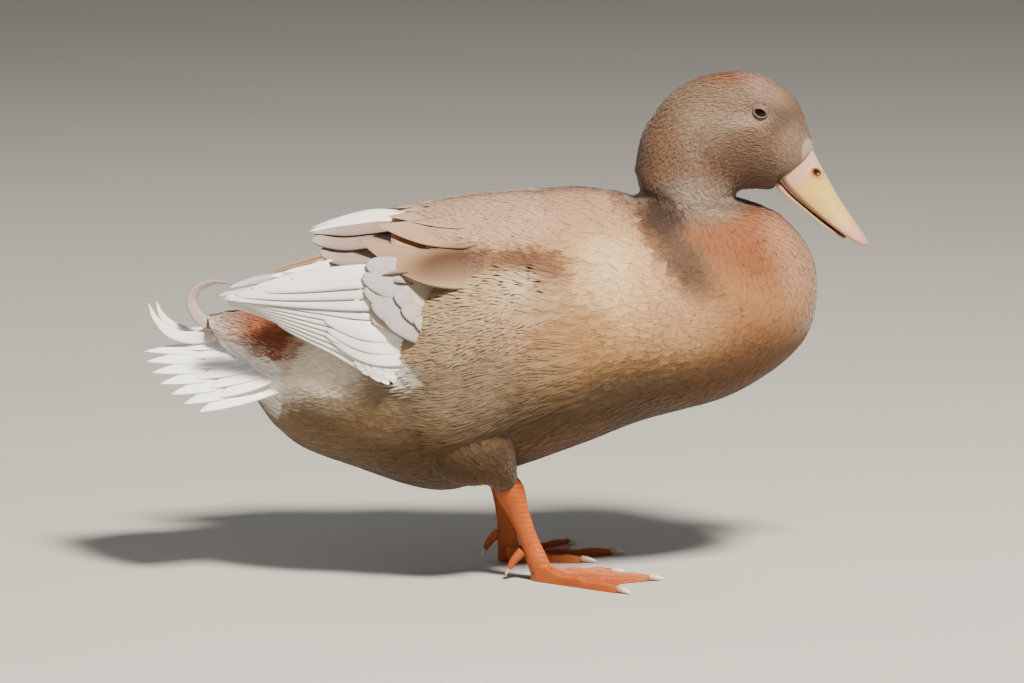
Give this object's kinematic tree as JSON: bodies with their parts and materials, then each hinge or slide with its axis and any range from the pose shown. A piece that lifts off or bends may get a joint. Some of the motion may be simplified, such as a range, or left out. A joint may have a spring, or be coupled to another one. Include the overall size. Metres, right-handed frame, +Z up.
{
  "type": "domestic duck",
  "caption": "Life-size model of a buff domestic drake standing on both webbed feet, neck drawn in, wings folded, tail fanned.",
  "frame": {"origin": "on the floor under the middle of the bird's length and width", "axes": "+X towards the bill, +Y towards the bird's left, +Z up"},
  "size_m": [0.4197, 0.1682, 0.293],
  "materials": {
    "buff_feathers": "matt, soft contour feathers",
    "rust_feathers": "matt, soft contour feathers with frosted tips",
    "taupe_feathers": "matt, short velvety feathers",
    "cream_feathers": "matt, downy feathers",
    "white_feathers": "satin vanes of flight and tail feathers",
    "bill_horn": "satin horn skin",
    "foot_skin": "scaly skin, slight gloss",
    "claw_horn": "satin horn",
    "eye": "polished, nearly black"
  },
  "bodies": {
    "root": {"bill_lower": "bill_horn", "bill_upper": "bill_horn", "breast": "rust_feathers", "claw_left_hind": "claw_horn", "claw_left_inner": "claw_horn", "claw_left_middle": "claw_horn", "claw_left_outer": "claw_horn", "claw_right_hind": "claw_horn", "claw_right_inner": "claw_horn", "claw_right_middle": "claw_horn", "claw_right_outer": "claw_horn", "curl_feather_left": "white_feathers", "curl_feather_loop": "taupe_feathers", "curl_feather_right": "white_feathers", "eye_left": "eye", "eye_right": "eye", "foot_left": "foot_skin", "foot_right": "foot_skin", "head": "taupe_feathers", "hind_toe_left": "foot_skin", "hind_toe_right": "foot_skin", "neck": "taupe_feathers", "rump": "cream_feathers", "shank_left": "foot_skin", "shank_right": "foot_skin", "tail_fan": "white_feathers", "thigh_left": "cream_feathers", "thigh_right": "cream_feathers", "trunk": "buff_feathers", "wing_left_coverts": "cream_feathers", "wing_left_flight": "white_feathers", "wing_left_scapulars": "buff_feathers", "wing_left_tertials": "white_feathers", "wing_right_coverts": "cream_feathers", "wing_right_flight": "white_feathers", "wing_right_scapulars": "buff_feathers", "wing_right_tertials": "white_feathers"}
  },
  "joints": []
}
